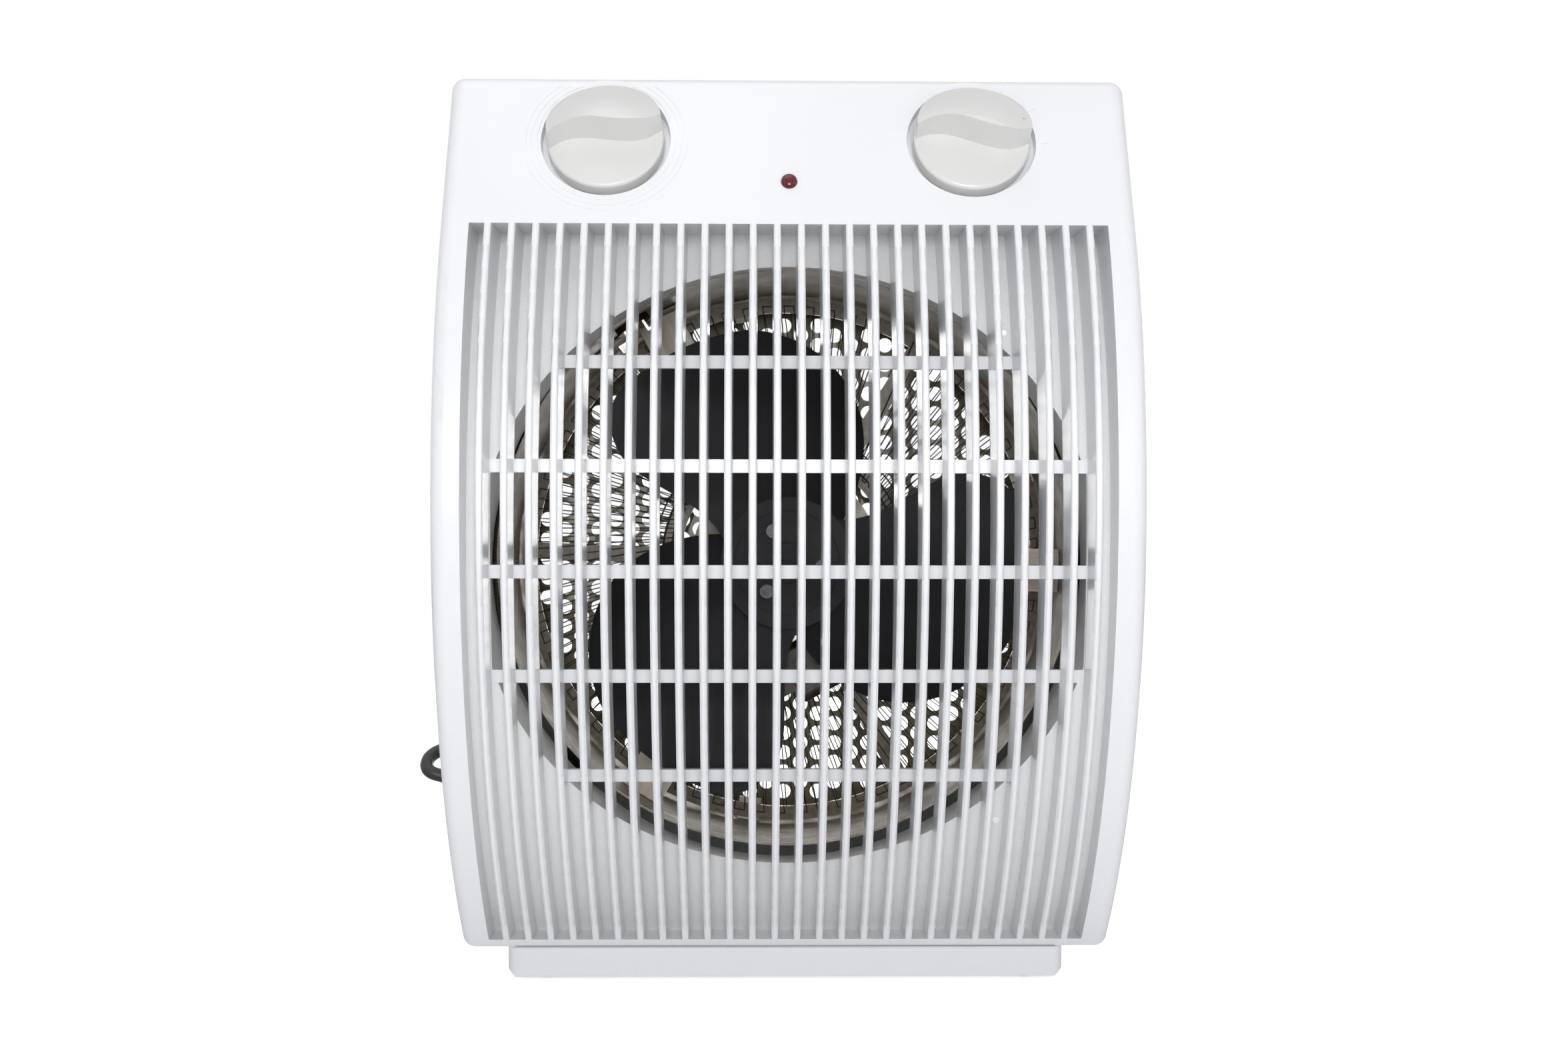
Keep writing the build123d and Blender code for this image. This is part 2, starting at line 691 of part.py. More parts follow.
write("motor_end_bracket", turned(end_bracket(stack_back, 1), motor_turn))
spider_hub_radius = 33.0
spider_hub = rod(spider_hub_radius, spider_depth, stack_front, z=duct_z)
spider_hub -= rod(bearing_radius, spider_depth - 1, spider_depth + 3, z=duct_z)
coil_notch = block(
    (-coil_width / 2 - 1.5, coil_width / 2 + 1.5),
    (spider_depth - 1, stack_front + 1),
    (duct_z - spider_hub_radius - 1, coil_top + 1.5),
)
spider_hub -= turned(coil_notch, motor_turn)
arm_room = 0.3
spider = spider_hub
for angle in spider_angles:
    arm = block(
        (8, duct_radius - arm_room),
        (spider_depth, spider_depth + spider_thickness),
        (duct_z - spider_arm_width / 2, duct_z + spider_arm_width / 2),
    )
    arm -= rod(7.0, spider_depth - 1, spider_depth + 3, z=duct_z)
    tab = block(
        (duct_radius - arm_room - spider_thickness - 1.0, duct_radius - arm_room - 1.0),
        (spider_depth, spider_depth + 12),
        (duct_z - spider_arm_width / 2, duct_z + spider_arm_width / 2),
    )
    arm = (arm + tab) & rod(duct_radius - arm_room, spider_depth - 1, spider_depth + 20, z=duct_z)
    spider += turned(arm, angle)
for angle in spider_angles:
    turn = Pos(0, 0, duct_z) * Rot(0, -angle, 0)
    hole = turn * Pos(duct_radius, depth_y(spider_depth + 6), 0) * Rot(0, 90, 0)
    spider -= hole * Cylinder(screw_radius - 0.1, 12)
for x, z in bolt_places:
    spider -= turned(rod(screw_radius + 0.1, spider_depth - 1, spider_depth + 3, x, z), motor_turn)
write("motor_spider", spider)
write("motor_bearings", [bearing(spider_depth - 1.5), bearing(stack_back + bracket_rise - 1.0)])

motor_bolts = []
bolt_end = stack_back + spider_thickness
for x, z in bolt_places:
    head = rod(2.6, spider_depth - 1.8, spider_depth, x, z)
    shank = rod(screw_radius, spider_depth, bolt_end + 2.4, x, z)
    nut = rod(2.6, bolt_end, bolt_end + 2.0, x, z)
    motor_bolts.append(turned(head + shank + nut, motor_turn))
write("motor_bolts", motor_bolts)
spider_screws = []
for angle in spider_angles:
    turn = Pos(0, 0, duct_z) * Rot(0, -angle, 0)
    place = turn * Pos(duct_radius + sheet, depth_y(spider_depth + 6), 0) * Rot(0, 90, 0)
    head = place * Pos(0, 0, 0.9) * Cylinder(2.4, 1.8)
    shank = place * Pos(0, 0, -2.0) * Cylinder(screw_radius - 0.1, 4.0)
    spider_screws.append(head + shank)
write("spider_screws", spider_screws)

# ---- heater: zigzag wire strung over a mica frame ----
def annulus(outer, inner):
    """Flat ring."""
    return Circle(outer) - Circle(inner)


frame_sketch = annulus(mica_inner_radius + mica_band, mica_inner_radius)
frame_sketch += annulus(mica_outer_radius, mica_outer_radius - 5)
frame_arms = (58.0, 178.0, 298.0)
for angle in frame_arms:
    arm_middle = (mica_inner_radius + mica_outer_radius) / 2
    arm = Pos(arm_middle, 0) * Rectangle(mica_outer_radius - mica_inner_radius - 4, 6)
    frame_sketch += Rot(0, 0, angle) * arm
to_front_view = Pos(0, depth_y(heater_depth + mica_thickness), duct_z) * Rot(90, 0, 0)
frame = to_front_view * extrude(frame_sketch, amount=mica_thickness)
write("heater_mica_frame", frame)

wire_inner = mica_inner_radius + 3.0
wire_outer = mica_outer_radius - 2.5
fold = 360.0 / wire_folds
outer_line = []
inner_line = []
half_wire = wire_size / 2
for number in range(wire_folds - 2):
    angle = 60.0 + number * fold
    inner_half = degrees(half_wire / wire_inner)
    outer_half = degrees(half_wire / wire_outer)
    first = angle
    second = angle + fold / 2
    outer_line.append(polar(wire_inner, first - inner_half))
    outer_line.append(polar(wire_outer + half_wire, first - outer_half))
    outer_line.append(polar(wire_outer + half_wire, second + outer_half))
    outer_line.append(polar(wire_inner + wire_size, second + inner_half))
    inner_line.append(polar(wire_inner, first + inner_half))
    inner_line.append(polar(wire_outer - half_wire, first + outer_half))
    inner_line.append(polar(wire_outer - half_wire, second - outer_half))
    inner_line.append(polar(wire_inner, second - inner_half))
zigzag = make_face(Polyline(*(outer_line + inner_line[::-1]), close=True))
wire_place = Pos(0, depth_y(heater_depth), duct_z) * Rot(90, 0, 0)
write("heater_wire", wire_place * extrude(zigzag, amount=wire_size))

# Clips that hold the mica frame inside the drum.
heater_clips = []
clip_angles = (20.0, 100.0, 200.0, 262.0)
for angle in clip_angles:
    turn = Pos(0, 0, duct_z) * Rot(0, -angle, 0)
    leg_start = heater_depth + mica_thickness
    leg = Pos(duct_radius - 0.3 - sheet / 2, depth_y(leg_start + 4), 0) * Box(sheet, 8, 8)
    shelf = Pos(duct_radius - 0.3 - 4.0, depth_y(leg_start + sheet / 2), 0) * Box(8, sheet, 8)
    clip = turn * (leg + shelf)
    heater_clips.append(clip & rod(duct_radius - 0.05, 0, body_depth, z=duct_z))
write("heater_clips", heater_clips)

# ---- thermal cut-out in the drum's window ----
cutout_place = Pos(0, 0, duct_z) * Rot(0, -window_angle, 0)
cutout_middle = (window_front + window_back) / 2
cutout_x = duct_radius + 3.0
cutout_radius = 6.3
cutout_axis = Rot(0, 90, 0)
plate = tube(outside + 1.9, outside + 0.3, window_front - 2, window_back + 3, z=duct_z)
plate &= cutout_place * Pos(outside, depth_y(cutout_middle), 0) * Box(40, 60, window_width + 8)
plate_hole = cutout_place * Pos(outside, depth_y(cutout_middle - 2), 0) * cutout_axis
write("cutout_plate", plate - plate_hole * Cylinder(cutout_radius, 12))
cutout_body = cutout_place * Pos(cutout_x, depth_y(cutout_middle - 2), 0) * cutout_axis
write("thermal_cutout", cutout_body * Cylinder(cutout_radius, 9))
terminals = []
for side in (-1, 1):
    blade_tab = Pos(cutout_x - 6.5, depth_y(cutout_middle - 2), side * 3.6) * Box(4, 8, 0.8)
    leaf = Pos(cutout_x - 8.1, depth_y(cutout_middle + 2), side * 5.6) * Box(0.8, 16, 4.8)
    terminals.append(cutout_place * (blade_tab + leaf))
write("cutout_terminals", terminals)

# ---- controls ----
grip_reach = knob_radius - 0.6
skirt_wall = 1.8
stem_low = -2.0
shaft_top = 1.2
bush_top = stem_low - 0.4


def knob(grip_angle, pointer_angle):
    """Round knob: its upper half rises to a crown, cut off below by an S-shaped wall to grip."""
    disc = Pos(0, 0, (knob_proud - knob_skirt) / 2) * Cylinder(knob_radius, knob_proud + knob_skirt)
    disc = fillet(disc.edges().sort_by(Axis.Z)[-1:], 1.2)
    disc -= Pos(0, 0, -knob_skirt / 2 - 1.0) * Cylinder(knob_radius - skirt_wall, knob_skirt + 2.0)
    disc += Pos(0, 0, stem_low / 2) * Cylinder(control_shaft_radius + 2.0, -stem_low)
    wall_line = Spline(
        (-grip_reach, -grip_drop),
        (-grip_reach / 2, grip_sway - grip_drop),
        (0, -grip_drop),
        (grip_reach / 2, -grip_sway - grip_drop),
        (grip_reach, -grip_drop),
    )
    around = Polyline(
        (grip_reach, -grip_drop),
        (grip_reach, knob_radius),
        (-grip_reach, knob_radius),
        (-grip_reach, -grip_drop),
    )
    crown = extrude(make_face(wall_line + around), amount=grip_height + knob_proud)
    crown_z = knob_proud + grip_height - sqrt(crown_radius**2 - crown_shift**2)
    crown = crown & (Pos(0, -crown_shift, crown_z) * Sphere(crown_radius))
    crown = crown & Cylinder(grip_reach, 60)
    body = Rot(0, 0, grip_angle) * (disc + crown)
    body -= Pos(0, 0, (shaft_top + stem_low) / 2) * Cylinder(control_shaft_radius, shaft_top - stem_low)
    dimple_z = crown_z + sqrt(crown_radius**2 - crown_shift**2 - dimple_circle**2)
    dimple = Rot(0, 0, pointer_angle) * Pos(dimple_circle, 0, dimple_z)
    return body - dimple * Box(2.4, 0.9, 2.4)


control_base = well_depth + wall + 0.1
shaft_low = -control_base - 6.0
control_nuts = []
for name, x, grip_angle, pointer in (
    ("thermostat", -knob_x, thermostat_grip, thermostat_pointer),
    ("selector", knob_x, selector_grip, selector_pointer),
):
    place = on_panel(x, knob_z)
    write(f"{name}_knob", place * knob(grip_angle, pointer))
    shaft = Pos(0, 0, (shaft_low + shaft_top) / 2) * Cylinder(control_shaft_radius, shaft_top - shaft_low)
    write(f"{name}_shaft", place * shaft)
    case = Pos(0, 0, -control_base - control_body_depth / 2)
    case = case * Box(control_body_side, control_body_side, control_body_depth)
    case = fillet(case.edges().filter_by(Axis.Z), 3.0)
    bush_length = bush_top + control_base + 1.0
    case += Pos(0, 0, bush_top - bush_length / 2) * Cylinder(control_bush_radius, bush_length)
    case -= Pos(0, 0, shaft_low + 20) * Cylinder(control_shaft_radius + running_clearance, 41)
    for tab in (-8, 0, 8):
        case += Pos(tab, 0, -control_base - control_body_depth - 3.5) * Box(4.8, 0.8, 8)
    write(f"{name}_body", place * case)
    nut = extrude(RegularPolygon(nut_across_flats / 2, 6, major_radius=False), amount=nut_thickness)
    nut -= Cylinder(control_bush_radius, 20)
    control_nuts.append(place * Pos(0, 0, -well_depth) * nut)
write("control_nuts", control_nuts)

# ---- indicator lamp ----
lens = Cylinder(lens_radius, 8)
lens = Pos(0, 0, -3.6) * lens
cap = Sphere(lens_radius) & (Pos(0, 0, 5) * Box(20, 20, 10))
lens = lens + Pos(0, 0, 0.4) * scale(cap, by=(1, 1, 0.5))
write("indicator_lens", lamp_place * lens)
lamp = Pos(0, 0, -13.6) * Cylinder(4.2, 12)
write("indicator_lamp", lamp_place * lamp)

# ---- plinth and feet ----
plinth = block(
    (-plinth_half_width, plinth_half_width),
    (plinth_front, plinth_back),
    (foot_proud, casing_bottom),
)
plinth_ends = plinth.faces().filter_by(Axis.X).edges().filter_by(Axis.Y)
plinth = chamfer(plinth_ends.sort_by(Axis.Z)[0:2], plinth_chamfer)
plinth = fillet(plinth.edges().filter_by(Axis.Z), 3.0)
plinth -= block(
    (-plinth_half_width + wall, plinth_half_width - wall),
    (plinth_front + wall, plinth_back - wall),
    (foot_proud + wall, casing_bottom + 1),
)
foot_x = plinth_half_width - 13
foot_places = []
for side in (-1, 1):
    for depth in (plinth_front + 10, plinth_back - 10):
        foot_places.append((side * foot_x, depth))
for x, depth in foot_places:
    plinth -= Pos(x, depth_y(depth), foot_proud + 0.7) * Cylinder(foot_radius + 0.1, 1.4)
screw_seat_z = foot_proud + 3.0
for x, depth in plinth_screw_places:
    boss_middle = (foot_proud + casing_bottom) / 2
    plinth += Pos(x, depth_y(depth), boss_middle) * Cylinder(5.0, casing_bottom - foot_proud)
    plinth -= Pos(x, depth_y(depth), foot_proud) * Cylinder(screw_head_radius + 0.4, 6.0)
    plinth -= Pos(x, depth_y(depth), casing_bottom) * Cylinder(screw_hole_radius, 30)
write("plinth", plinth)
feet = []
for x, depth in foot_places:
    foot = Pos(x, depth_y(depth), foot_height / 2) * Cylinder(foot_radius, foot_height)
    feet.append(fillet(foot.edges().sort_by(Axis.Z)[0:1], 0.5))
write("rubber_feet", feet)

# ---- terminal block ----
block_x = (-72.0, -38.0)
terminal_block = block(block_x, (100.0, 112.0), (15.0, 29.0))
for number in range(3):
    x = block_x[0] + 6 + number * 11
    terminal_block -= Pos(x, depth_y(106), 29) * Cylinder(2.2, 8)
terminal_block = Pos(0, 0, casing_bottom + wall - 15.0) * terminal_block
write("terminal_block", terminal_block)

# ---- internal leads, clipped between the terminal block, both controls, motor and heater ----
lead_radius = 1.1
block_to_thermostat = [
    (-66, 44, 23.2),
    (-67, 43.5, 38),
    (-84, 43, 54),
    (-97, 42, 76),
    (-103, 41, 112),
    (-103.4, 40, 152),
    (-100.5, 37, 190),
    (-96, 30, 220),
    (-88, 18, 243),
    (-76, 5, 260),
    (-66.9, -1.9, 265.4),
]
thermostat_to_selector = [
    (-50.9, -1.9, 265.4),
    (-45, 9, 262),
    (-32, 15, 261),
    (-14, 16.5, 262),
    (6, 16, 263),
    (24, 15, 262.5),
    (40, 10, 263),
    (50.9, -1.9, 265.4),
]
selector_to_lamp = [
    (58.9, -1.9, 265.4),
    (58.4, 6, 262),
    (52, 12.5, 258.5),
    (40, 14, 256.5),
    (26, 9, 255),
    (13, 1, 253.5),
    (4, -7, 252.5),
    (0.5, -14.5, 254),
    (0, -21.2, 256.8),
]
block_to_cutout = [
    (-55, 44, 23.2),
    (-56, 42, 36),
    (-69, 37, 48),
    (-85, 32, 62),
    (-96.5, 30, 86),
    (-102.6, 29, 116),
    (-103.2, 27, 148),
    (-101, 22, 178),
    (-93.5, 12, 206),
    (-80, 0, 227),
    (-66, -7.5, 237),
    (-57, -8.5, 229.6),
]
lead_routes = [block_to_thermostat, thermostat_to_selector, selector_to_lamp, block_to_cutout]


def lead_path(points):
    """Straight runs joined by arcs, each as large as its two runs allow."""
    corners = [Vector(*point) for point in points]
    radii = []
    for before, corner, after in zip(corners, corners[1:], corners[2:]):
        shorter = min((corner - before).length, (after - corner).length)
        half_turn = radians((corner - before).get_angle(after - corner) / 2)
        radii.append(0.45 * shorter / tan(half_turn))
    return FilletPolyline(*points, radius=radii), radii


def round_sweep(points, radius):
    """Round tube along a route; says how tight it is and checks its volume."""
    path, radii = lead_path(points)
    start = Plane(origin=path @ 0, z_dir=path % 0)
    tube_solid = sweep(start * Circle(radius), path=path)
    ideal = pi * radius**2 * path.length
    ratio = tube_solid.volume / ideal
    print(f"  length {path.length:.1f}, volume ratio {ratio:.4f}")
    print("  radii", " ".join(f"{value:.1f}" for value in radii))
    return tube_solid


write("internal_leads", [round_sweep(route, lead_radius) for route in lead_routes])

# ---- cord: strain relief, lead, coil, tie, plug ----
gland_end = rear_end + gland_length
gland = rod(gland_hole_radius - 0.1, rear_inner - 1.0, rear_end + 0.1, cord_exit_x, cord_exit_z)
gland += rod(9.0, rear_end, rear_end + 2.0, cord_exit_x, cord_exit_z)
gland += cone_rod(6.6, 4.0, rear_end + 2.0, gland_end, cord_exit_x, cord_exit_z)
gland += rod(8.2, rear_inner - 3.4, rear_inner, cord_exit_x, cord_exit_z)
slit_x = (cord_exit_x - 9, cord_exit_x + 9)
slit_z = (cord_exit_z - 2, cord_exit_z + 2)
for number in range(5):
    slit_depth = rear_end + 5.0 + number * 4.0
    slit = tube(9.0, 3.6, slit_depth, slit_depth + 1.2, cord_exit_x, cord_exit_z)
    gland -= slit & block(slit_x, (rear_end, gland_end), slit_z)
write("strain_relief", gland)

outer_turn = coil_mean_radius + cord_radius
inner_turn = coil_mean_radius - cord_radius
coil_top_z = cord_rise + (2 * coil_layers - 1) * cord_radius

# The lead leaves straight back, sweeps round to the left, doubles back in a tight bight
# beside the casing, and falls over the coil's outer turns to its top inner turn.
supply_route = [
    (cord_exit_x, depth_y(gland_end), cord_exit_z),
    (-78, 98, 66),
    (-82.6, 109, 66.6),
    (-91, 117.4, 67.3),
    (-102, 122, 67.8),
    (-117, 123.6, 67.6),
    (-133, 121.6, 65.6),
    (-147.1, 118.4, 62.6),
    (-147.1, 109.6, 54.2),
    (-135, 110.4, 51.5),
    (-121, 110.6, 46.5),
    (-106.5, 112.6, 40.0),
    (-92, 117, 34.0),
    (-77, 122.6, 29.2),
    (-62.5, 127.4, 26.4),
    (-50, 129.9, 25.6),
    (-38.5, 130.0, 24.2),
    (coil_x, coil_y + inner_turn, coil_top_z),
]
write("supply_cord", round_sweep(supply_route, cord_radius))

coil_height_total = coil_layers * 2 * cord_radius
coil_inner = coil_mean_radius - 2 * cord_radius
coil_outer = coil_mean_radius + 2 * cord_radius
coil = Cylinder(coil_outer, coil_height_total) - Cylinder(coil_inner, coil_height_total + 2)
coil = fillet(coil.edges().filter_by(GeomType.CIRCLE), cord_radius * 0.9)
coil_middle_z = cord_rise + coil_height_total / 2
write("cord_coil", Pos(coil_x, coil_y, coil_middle_z) * coil)

# A strap round the coil's turns.
tie_width = 5.0
tie_sheet = 0.6
tie_room = 0.3
tie = Box(4 * cord_radius + 2 * (tie_sheet + tie_room), tie_width, coil_height_total + 2 * tie_sheet)
tie -= Box(4 * cord_radius + 2 * tie_room, tie_width + 2, coil_height_total + 0.1)
tie += Pos(0, 0, coil_height_total / 2 + tie_sheet + 1.4) * Box(3.2, 1.2, 2.8)
write("cord_tie", Pos(coil_x - coil_mean_radius, coil_y, coil_middle_z) * tie)

# The short end of the lead runs from the coil's top outer turn to the plug beside it.
leave_offset = outer_turn * cos(radians(45))
plug_route = [
    (coil_x + leave_offset, coil_y + leave_offset, coil_top_z),
    (4.5, 115.9, 18.2),
    (15.5, 108.6, 15.9),
    (27.5, 104.2, 14.6),
    (39, 102.4, 15.2),
    (50.6, coil_y, plug_radius),
    (plug_x, coil_y, plug_radius),
]
write("plug_lead", round_sweep(plug_route, cord_radius))


def plug_bar(radius, start, length, z=plug_radius):
    """Round bar along X at the plug's place."""
    return Pos(start + length / 2, coil_y, z) * Rot(0, 90, 0) * Cylinder(radius, length)


plug_neck = 14.0
neck = Pos(plug_x + plug_neck / 2, coil_y, plug_radius) * Rot(0, 90, 0) * Cone(4.4, 8.5, plug_neck)
plug_head = plug_bar(plug_radius, plug_x + plug_neck, plug_length - plug_neck)
plug_head = fillet(plug_head.edges().filter_by(GeomType.CIRCLE), 3.0)
for side in (-1, 1):
    waist = Pos(plug_x + plug_neck + 9, coil_y + side * (plug_radius + 22), plug_radius)
    plug_head -= waist * Cylinder(25, 60)
write("plug_body", neck + plug_head)
pins = []
for side in (-1, 1):
    pin_z = plug_radius + side * pin_spacing / 2
    pin = plug_bar(pin_radius, plug_x + plug_length, pin_length, pin_z)
    pins.append(fillet(pin.edges().sort_by(Axis.X)[-1:], 1.2))
write("plug_pins", pins)

# Screws that hold the plinth to the casing.
plinth_screws = []
for x, depth in plinth_screw_places:
    head = Pos(x, depth_y(depth), screw_seat_z - 1.0) * Cylinder(screw_head_radius, 2.0)
    shank = Pos(x, depth_y(depth), screw_seat_z + 5.5) * Cylinder(screw_radius - 0.1, 11.0)
    plinth_screws.append(head + shank)
write("plinth_screws", plinth_screws)
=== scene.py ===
import math

import bpy
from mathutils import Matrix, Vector, noise


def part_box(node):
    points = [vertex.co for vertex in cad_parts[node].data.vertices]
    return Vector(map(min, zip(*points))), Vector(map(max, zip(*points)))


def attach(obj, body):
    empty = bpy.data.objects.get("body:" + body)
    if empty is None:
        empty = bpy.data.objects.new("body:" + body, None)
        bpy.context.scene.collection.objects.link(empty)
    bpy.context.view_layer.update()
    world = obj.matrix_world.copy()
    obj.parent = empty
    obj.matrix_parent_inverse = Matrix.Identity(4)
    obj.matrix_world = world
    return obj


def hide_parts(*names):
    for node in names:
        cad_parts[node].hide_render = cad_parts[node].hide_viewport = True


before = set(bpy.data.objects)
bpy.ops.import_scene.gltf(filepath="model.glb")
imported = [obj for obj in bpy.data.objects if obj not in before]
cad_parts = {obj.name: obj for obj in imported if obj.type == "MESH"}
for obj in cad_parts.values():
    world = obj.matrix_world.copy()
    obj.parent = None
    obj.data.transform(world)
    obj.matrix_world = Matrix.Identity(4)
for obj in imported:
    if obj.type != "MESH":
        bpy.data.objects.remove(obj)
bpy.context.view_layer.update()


# ---- Camera, floor and light ----
# The heater stands on a pale seamless floor in a light tent. The camera looks at the grille
# from about half a metre, level with the middle of the casing and a touch from the left.
casing_low, casing_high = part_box("front_housing")
camera_distance = 0.512
camera_height = 0.1555
camera_aim = -0.0018
camera_turn = math.radians(0.9)
camera_tilt = math.radians(-0.1)
camera_data = bpy.data.cameras.new("camera")
camera_data.sensor_width = 36.0
camera_data.lens = 38.5
camera = bpy.data.objects.new("camera", camera_data)
camera.location = (camera_aim - camera_distance * math.sin(camera_turn),
                   casing_low.y - camera_distance * math.cos(camera_turn), camera_height)
camera.rotation_euler = (math.radians(90), camera_tilt, -camera_turn)
bpy.context.scene.collection.objects.link(camera)
bpy.context.scene.camera = camera
bpy.context.scene.view_settings.view_transform = "Standard"


def linear(hex_colour):
    """Linear RGBA of an sRGB hex colour."""
    channels = [int(hex_colour[place:place + 2], 16) / 255 for place in (1, 3, 5)]
    return (*[c / 12.92 if c <= 0.04045 else ((c + 0.055) / 1.055) ** 2.4 for c in channels], 1.0)


def add(tree, kind, inputs=None, **settings):
    """Adds a node with its settings; inputs hold plain values or the outputs to link."""
    made = tree.nodes.new(kind)
    for name, value in settings.items():
        setattr(made, name, value)
    for socket, value in (inputs or {}).items():
        if isinstance(value, bpy.types.NodeSocket):
            tree.links.new(value, made.inputs[socket])
        else:
            made.inputs[socket].default_value = value
    return made


# The room is white where it is seen or mirrored, and lights the object more softly than that.
room_light = 0.37
floor_lift = 0.7
light_target = Vector((0, 0, 0.15))
world = bpy.data.worlds.new("light_tent")
world.use_nodes = True
bpy.context.scene.world = world
tree = world.node_tree
tree.nodes.clear()
rays = add(tree, "ShaderNodeLightPath")
seen = add(tree, "ShaderNodeMath", {0: rays.outputs["Is Camera Ray"],
                                    1: rays.outputs["Is Glossy Ray"]}, operation="MAXIMUM")
seen = add(tree, "ShaderNodeMath", {0: seen.outputs[0],
                                    1: rays.outputs["Is Transmission Ray"]}, operation="MAXIMUM")
white = add(tree, "ShaderNodeBackground", {"Color": linear("#FFFFFF"), "Strength": 1.0})
dim = add(tree, "ShaderNodeBackground", {"Color": linear("#FBFCFF"), "Strength": room_light})
room = add(tree, "ShaderNodeMixShader", {0: seen.outputs[0], 1: dim.outputs[0],
                                         2: white.outputs[0]})
add(tree, "ShaderNodeOutputWorld", {"Surface": room.outputs[0]})

# Floor of pale sweep paper: it shows white, yet keeps a soft shadow at the feet.
sweep_paper = bpy.data.materials.new("white_sweep_paper")
sweep_paper.use_nodes = True
tree = sweep_paper.node_tree
paper = tree.nodes["Principled BSDF"]
paper.inputs["Base Color"].default_value = linear("#F2F2F2")
paper.inputs["Roughness"].default_value = 0.9
paper.inputs["Specular IOR Level"].default_value = 0.1
rays = add(tree, "ShaderNodeLightPath")
lifted = add(tree, "ShaderNodeMath", {0: rays.outputs["Is Camera Ray"], 1: floor_lift},
             operation="MULTIPLY")
glow = add(tree, "ShaderNodeEmission", {"Color": linear("#FFFFFF"),
                                        "Strength": lifted.outputs[0]})
both = add(tree, "ShaderNodeAddShader", {0: paper.outputs[0], 1: glow.outputs[0]})
tree.links.new(both.outputs[0], tree.nodes["Material Output"].inputs["Surface"])
floor_mesh = bpy.data.meshes.new("floor")
floor_side = 3.0
floor_mesh.from_pydata([(-floor_side, -floor_side, 0), (floor_side, -floor_side, 0),
                        (floor_side, floor_side, 0), (-floor_side, floor_side, 0)], [],
                       [(0, 1, 2, 3)])
floor_mesh.materials.append(sweep_paper)
floor = bpy.data.objects.new("floor", floor_mesh)
bpy.context.scene.collection.objects.link(floor)

# Soft boxes: the main one behind the camera, weaker ones overhead and on the right, and one
# at the back, which shines through the guard's holes onto the drum's inside.
for name, place, side, watts in (
    ("front_softbox", (0.0, -1.25, 0.31), 0.5, 8.1),
    ("top_softbox", (-0.2, -0.3, 1.5), 0.9, 2.8),
    ("right_softbox", (1.2, -1.0, 0.4), 0.8, 0.9),
    ("back_softbox", (0.05, 1.0, 0.3), 0.6, 5.0),
):
    lamp = bpy.data.lights.new(name, "AREA")
    lamp.shape = "SQUARE"
    lamp.size = side
    lamp.energy = watts
    softbox = bpy.data.objects.new(name, lamp)
    softbox.location = place
    aim = light_target - Vector(place)
    softbox.rotation_euler = aim.to_track_quat("-Z", "Y").to_euler()
    bpy.context.scene.collection.objects.link(softbox)


# ---- Mains lead ----
# Round three-core lead in a black PVC sheath: smooth, slightly satin, a little dusty.
# It sweeps back and round beside the casing, then lies in a tied coil behind it.
def new_material(name):
    """A material, its node tree and its shader."""
    material = bpy.data.materials.new(name)
    material.use_nodes = True
    return material, material.node_tree, material.node_tree.nodes["Principled BSDF"]


def wear(material, *node_names):
    """Gives CAD nodes this material in every slot."""
    for name in node_names:
        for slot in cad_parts[name].material_slots:
            slot.material = material


def speckle(tree, scale, detail=2.0):
    """Noise over the object's own coordinates."""
    place = add(tree, "ShaderNodeTexCoord")
    return add(tree, "ShaderNodeTexNoise", {"Vector": place.outputs["Object"], "Scale": scale,
                                            "Detail": detail})


def paint(shader, factor, first, second):
    """Base colour between two hex colours."""
    tree = shader.id_data
    mixed = add(tree, "ShaderNodeMixRGB", {"Fac": factor, "Color1": linear(first),
                                           "Color2": linear(second)})
    tree.links.new(mixed.outputs[0], shader.inputs["Base Color"])


def roughen(shader, factor, first, second):
    """Roughness between two values."""
    tree = shader.id_data
    ranged = add(tree, "ShaderNodeMapRange", {"Value": factor, "To Min": first,
                                              "To Max": second})
    tree.links.new(ranged.outputs[0], shader.inputs["Roughness"])


def relieve(shader, height, strength, distance):
    """Surface relief, with its depth in metres."""
    tree = shader.id_data
    bump = add(tree, "ShaderNodeBump", {"Height": height, "Strength": strength,
                                        "Distance": distance})
    tree.links.new(bump.outputs[0], shader.inputs["Normal"])


black_pvc, tree, shader = new_material("black_pvc_sheath")
dust = speckle(tree, 180.0, 4.0)
paint(shader, dust.outputs["Fac"], "#19191B", "#2A2A2C")
relieve(shader, dust.outputs["Fac"], 0.15, 0.0002)
shader.inputs["Roughness"].default_value = 0.42
shader.inputs["IOR"].default_value = 1.52

cord_radius = 0.0027
millimetre = 0.001
supply_route = [
    (-78, 88, 66),
    (-78, 98, 66),
    (-82.6, 109, 66.6),
    (-91, 117.4, 67.3),
    (-102, 122, 67.8),
    (-117, 123.6, 66.6),
    (-132, 121.6, 63.6),
    (-144.8, 118.4, 60.2),
    (-144.8, 109.6, 54.0),
    (-135, 110.4, 51.5),
    (-121, 110.6, 46.5),
    (-106.5, 112.6, 40.0),
    (-92, 117, 34.0),
    (-77, 122.6, 29.2),
    (-62.5, 127.4, 26.4),
    (-50, 129.9, 25.6),
    (-38.5, 130.0, 24.2),
]
plug_route = [
    (4.5, 115.9, 18.2),
    (15.5, 108.6, 15.9),
    (27.5, 104.2, 14.6),
    (39, 102.4, 15.2),
    (50.6, 102, 17.5),
    (62, 102, 17.5),
]
